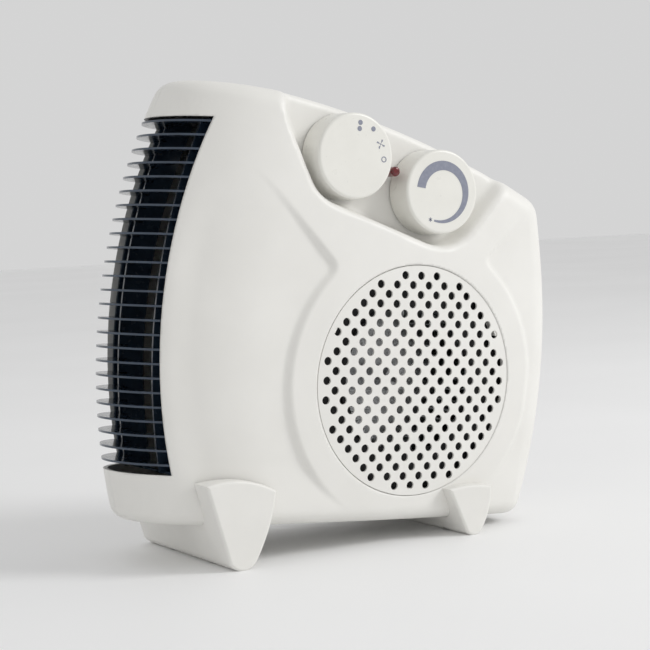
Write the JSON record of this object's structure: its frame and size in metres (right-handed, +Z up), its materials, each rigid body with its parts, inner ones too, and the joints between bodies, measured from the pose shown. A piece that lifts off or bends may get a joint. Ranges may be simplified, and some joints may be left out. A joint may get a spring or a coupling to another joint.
{
  "type": "fan convector heater",
  "caption": "Upright electric fan heater: white two-shell casing on two feet, finned side outlet, round perforated intake disc, two control knobs and a lamp in a recess.",
  "frame": {"origin": "middle of the overall box on the surface that the feet stand on", "axes": "+Z up; +X along the width, from the warm-air outlet to the wide closed end; +Y from the front face with the knobs to the back"},
  "size_m": [0.2618, 0.1092, 0.2549],
  "materials": {
    "casing": "moulded ivory-white plastic with a fine texture",
    "feet": "moulded ivory-white plastic, matt",
    "knob": "smooth cream-white plastic, semi-gloss",
    "grille": "glossy blue-black heat-resistant plastic",
    "lens": "clear dark red plastic",
    "glass": "clear neon lamp glass",
    "zinc": "zinc-plated steel",
    "steel": "laminated electrical steel",
    "sheet": "galvanised sheet steel",
    "inner_plastic": "black moulded heat-resistant plastic",
    "aluminium": "plain aluminium",
    "brass": "bare brass",
    "bronze": "sintered bronze",
    "copper": "enamelled copper winding",
    "mica": "mica board",
    "wire": "bare resistance wire",
    "cutout": "nickel-plated thermal cut-out",
    "rubber": "black rubber"
  },
  "bodies": {
    "casing": {"air_duct": "sheet", "bimetal_strip": "brass", "case_screws": "zinc", "control_screws": "zinc", "cord_clamp": "inner_plastic", "cord_clamp_screws": "zinc", "cord_gland": "rubber", "fan_housing": "inner_plastic", "fan_housing_cover": "inner_plastic", "foot_screws": "zinc", "front_bearing": "bronze", "front_bearing_bracket": "zinc", "front_shell": "casing", "heater_frame": "sheet", "heater_terminals": "brass", "heating_coil_high": "wire", "heating_coil_low": "wire", "intake_grille": "casing", "lamp_lens": "lens", "mica_boards": "mica", "motor_coil": "copper", "motor_screws": "zinc", "neon_lamp": "glass", "outlet_foot": "feet", "outlet_grille": "grille", "rear_bearing": "bronze", "rear_bearing_bracket": "zinc", "rear_foot": "feet", "rear_shell": "casing", "shading_rings": "copper", "stator_stack": "steel", "switch_body": "inner_plastic", "terminal_block": "inner_plastic", "thermal_cutout": "cutout", "thermal_fuse": "cutout", "thermostat_body": "zinc"},
    "selector": {"selector_knob": "knob", "selector_spindle": "inner_plastic"},
    "thermostat_dial": {"thermostat_knob": "knob", "thermostat_spindle": "brass"},
    "fan": {"impeller_cage": "aluminium", "impeller_hub": "aluminium", "motor_shaft": "steel", "rotor": "aluminium"}
  },
  "joints": [
    {"name": "selector_turn", "type": "hinge", "parent": "casing", "child": "selector", "pos_m": [-0.0016, -0.045, 0.21108], "axis": [0, 1, 0], "range_deg": [0, 90]},
    {"name": "thermostat_turn", "type": "hinge", "parent": "casing", "child": "thermostat_dial", "pos_m": [0.05217, -0.045, 0.19032], "axis": [0, 1, 0], "range_deg": [-283, 0]},
    {"name": "fan_spin", "type": "hinge", "parent": "casing", "child": "fan", "pos_m": [0.03202, 0, 0.0883], "axis": [0, 1, 0], "continuous": true}
  ]
}
